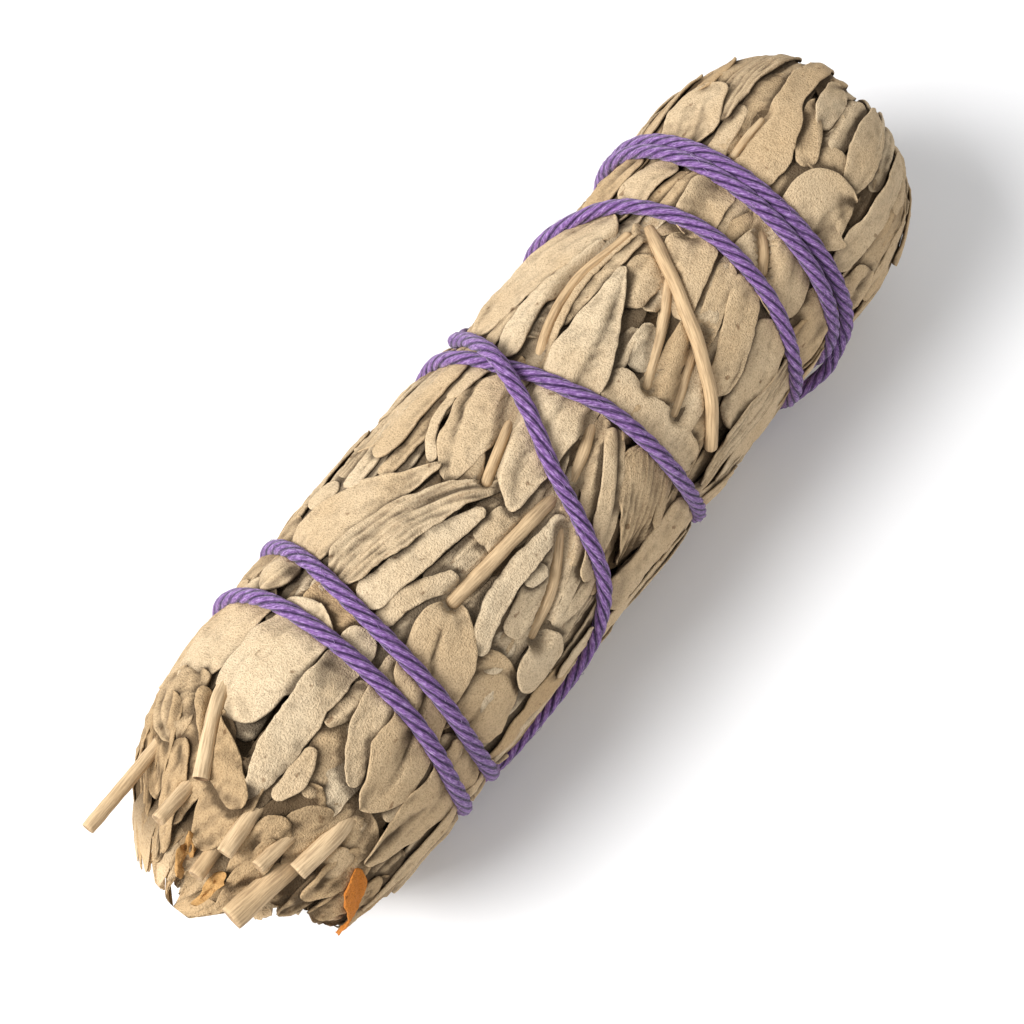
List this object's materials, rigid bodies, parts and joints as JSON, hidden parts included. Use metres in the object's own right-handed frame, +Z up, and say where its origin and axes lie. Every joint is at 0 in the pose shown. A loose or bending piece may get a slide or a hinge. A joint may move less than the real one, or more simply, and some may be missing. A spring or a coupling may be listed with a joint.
{
  "type": "sage bunch",
  "caption": "Roll of dried white sage sprigs with cut stems at one end and folded leaf tips at the other, bound with soft purple cotton thread that crosses itself on top.",
  "frame": {"origin": "middle of the footprint, on the surface the roll lies on", "axes": "+X along the roll from the cut stems to the leaf tips, +Z up"},
  "size_m": [0.114, 0.0344, 0.0326],
  "materials": {
    "sage_leaf": "dry felted leaf, matte, beige",
    "straw_stem": "dry straw stem, faintly ribbed",
    "golden_leaf": "dry papery leaf, golden",
    "rust_leaf": "dry papery leaf, rust orange",
    "purple_cotton": "soft twisted cotton thread, matte"
  },
  "bodies": {
    "root": {"sprig_top_left": "sage_leaf", "sprig_top": "sage_leaf", "sprig_top_right": "sage_leaf", "sprig_right": "sage_leaf", "sprig_base": "sage_leaf", "sprig_left": "sage_leaf", "stem_ridge": "straw_stem", "stem_side": "straw_stem", "stem_waist": "straw_stem", "stem_crossing": "straw_stem", "stem_under_crossing": "straw_stem", "stem_low_crossing": "straw_stem", "stem_slant": "straw_stem", "stem_shoulder": "straw_stem", "stem_tip": "straw_stem", "stem_cut_hollow": "straw_stem", "stem_cut_upper": "straw_stem", "stem_cut_thick": "straw_stem", "stem_cut_dark": "straw_stem", "stem_cut_middle": "straw_stem", "stem_cut_low": "straw_stem", "stem_cut_left": "straw_stem", "stem_cut_right": "straw_stem", "stem_cut_under": "straw_stem", "stem_cut_back": "straw_stem", "stem_stray": "straw_stem", "dry_curl_upper": "golden_leaf", "dry_curl_lower": "golden_leaf", "rust_leaf": "rust_leaf", "binding_thread": "purple_cotton"}
  },
  "joints": []
}
